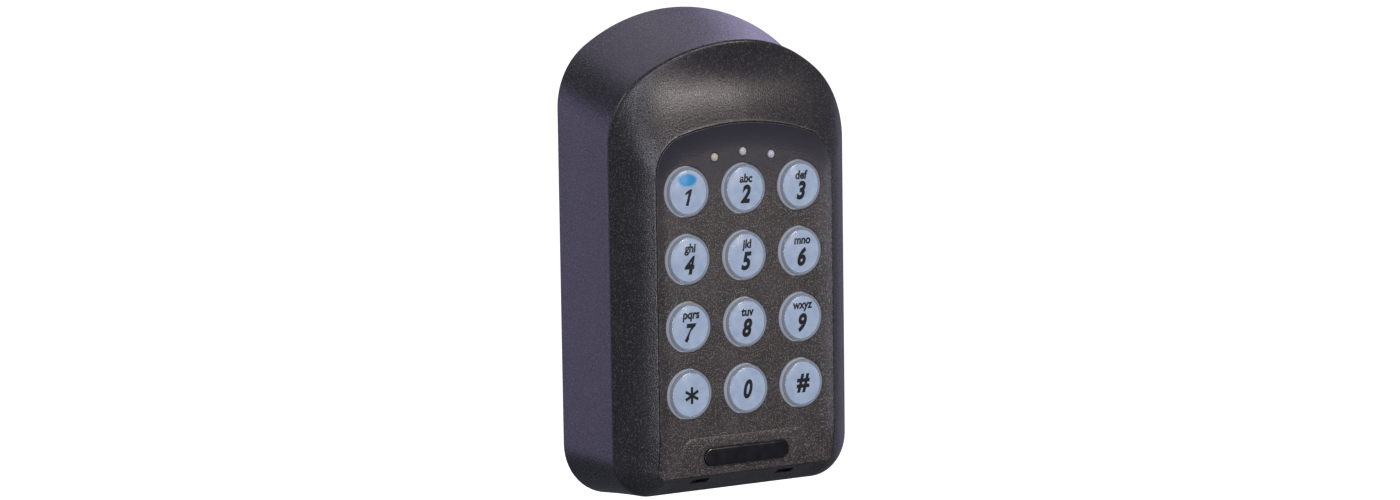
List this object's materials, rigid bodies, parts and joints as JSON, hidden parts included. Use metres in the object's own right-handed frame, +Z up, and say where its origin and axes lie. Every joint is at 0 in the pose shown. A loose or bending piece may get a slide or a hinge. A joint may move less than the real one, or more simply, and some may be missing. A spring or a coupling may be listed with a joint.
{
  "type": "access keypad reader",
  "caption": "Arched wall keypad with a built-in proximity reader: round clear push keys, status lights and a hooded bezel over a recessed panel.",
  "frame": {"origin": "on the wall plane, on the back plate's rear face, at the middle of the body's height and width", "axes": "+X to the right seen from the front, +Y into the wall, +Z up"},
  "size_m": [0.077, 0.0312, 0.1284],
  "materials": {
    "housing_shell": "fine textured satin black-grey moulding",
    "keypad_panel": "speckled brown-grey powder texture",
    "dark_window": "smoked glossy plastic",
    "led_lens": "milky lens",
    "clear_cap": "clear moulded polycarbonate",
    "key_legend": "pale blue printed insert",
    "silicone": "translucent grey silicone",
    "circuit_board": "green solder mask",
    "copper_winding": "enamelled copper",
    "component_black": "moulded black",
    "capacitor_can": "aluminium can",
    "steel_screw": "zinc plated",
    "back_plate": "moulded black",
    "black_rubber": "black rubber"
  },
  "bodies": {
    "base": {"front_housing": "housing_shell", "keypad_fascia": "keypad_panel", "sensor_window": "dark_window", "status_led_1": "led_lens", "status_led_2": "led_lens", "status_led_3": "led_lens", "key_mat": "silicone", "antenna_coil": "copper_winding", "circuit_board": "circuit_board", "board_screw_1": "steel_screw", "board_screw_2": "steel_screw", "board_screw_3": "steel_screw", "board_screw_4": "steel_screw", "terminal_block": "component_black", "relay": "component_black", "buzzer": "component_black", "microcontroller": "component_black", "capacitor": "capacitor_can", "back_plate": "back_plate", "cable_grommet": "black_rubber", "edge_seal": "black_rubber"},
    "key_1": {"key_1_cap": "clear_cap", "key_1_legend": "key_legend", "key_1_plunger": "silicone"},
    "key_2": {"key_2_cap": "clear_cap", "key_2_legend": "key_legend", "key_2_plunger": "silicone"},
    "key_3": {"key_3_cap": "clear_cap", "key_3_legend": "key_legend", "key_3_plunger": "silicone"},
    "key_4": {"key_4_cap": "clear_cap", "key_4_legend": "key_legend", "key_4_plunger": "silicone"},
    "key_5": {"key_5_cap": "clear_cap", "key_5_legend": "key_legend", "key_5_plunger": "silicone"},
    "key_6": {"key_6_cap": "clear_cap", "key_6_legend": "key_legend", "key_6_plunger": "silicone"},
    "key_7": {"key_7_cap": "clear_cap", "key_7_legend": "key_legend", "key_7_plunger": "silicone"},
    "key_8": {"key_8_cap": "clear_cap", "key_8_legend": "key_legend", "key_8_plunger": "silicone"},
    "key_9": {"key_9_cap": "clear_cap", "key_9_legend": "key_legend", "key_9_plunger": "silicone"},
    "key_star": {"key_star_cap": "clear_cap", "key_star_legend": "key_legend", "key_star_plunger": "silicone"},
    "key_0": {"key_0_cap": "clear_cap", "key_0_legend": "key_legend", "key_0_plunger": "silicone"},
    "key_hash": {"key_hash_cap": "clear_cap", "key_hash_legend": "key_legend", "key_hash_plunger": "silicone"}
  },
  "joints": [
    {"name": "key_1_press", "type": "slide", "parent": "base", "child": "key_1", "axis": [0, 1, 0], "range_m": [0, 0.0012], "stiffness_N_per_m": 300, "springref_m": -0.001},
    {"name": "key_2_press", "type": "slide", "parent": "base", "child": "key_2", "axis": [0, 1, 0], "range_m": [0, 0.0012], "stiffness_N_per_m": 300, "springref_m": -0.001},
    {"name": "key_3_press", "type": "slide", "parent": "base", "child": "key_3", "axis": [0, 1, 0], "range_m": [0, 0.0012], "stiffness_N_per_m": 300, "springref_m": -0.001},
    {"name": "key_4_press", "type": "slide", "parent": "base", "child": "key_4", "axis": [0, 1, 0], "range_m": [0, 0.0012], "stiffness_N_per_m": 300, "springref_m": -0.001},
    {"name": "key_5_press", "type": "slide", "parent": "base", "child": "key_5", "axis": [0, 1, 0], "range_m": [0, 0.0012], "stiffness_N_per_m": 300, "springref_m": -0.001},
    {"name": "key_6_press", "type": "slide", "parent": "base", "child": "key_6", "axis": [0, 1, 0], "range_m": [0, 0.0012], "stiffness_N_per_m": 300, "springref_m": -0.001},
    {"name": "key_7_press", "type": "slide", "parent": "base", "child": "key_7", "axis": [0, 1, 0], "range_m": [0, 0.0012], "stiffness_N_per_m": 300, "springref_m": -0.001},
    {"name": "key_8_press", "type": "slide", "parent": "base", "child": "key_8", "axis": [0, 1, 0], "range_m": [0, 0.0012], "stiffness_N_per_m": 300, "springref_m": -0.001},
    {"name": "key_9_press", "type": "slide", "parent": "base", "child": "key_9", "axis": [0, 1, 0], "range_m": [0, 0.0012], "stiffness_N_per_m": 300, "springref_m": -0.001},
    {"name": "key_star_press", "type": "slide", "parent": "base", "child": "key_star", "axis": [0, 1, 0], "range_m": [0, 0.0012], "stiffness_N_per_m": 300, "springref_m": -0.001},
    {"name": "key_0_press", "type": "slide", "parent": "base", "child": "key_0", "axis": [0, 1, 0], "range_m": [0, 0.0012], "stiffness_N_per_m": 300, "springref_m": -0.001},
    {"name": "key_hash_press", "type": "slide", "parent": "base", "child": "key_hash", "axis": [0, 1, 0], "range_m": [0, 0.0012], "stiffness_N_per_m": 300, "springref_m": -0.001}
  ]
}
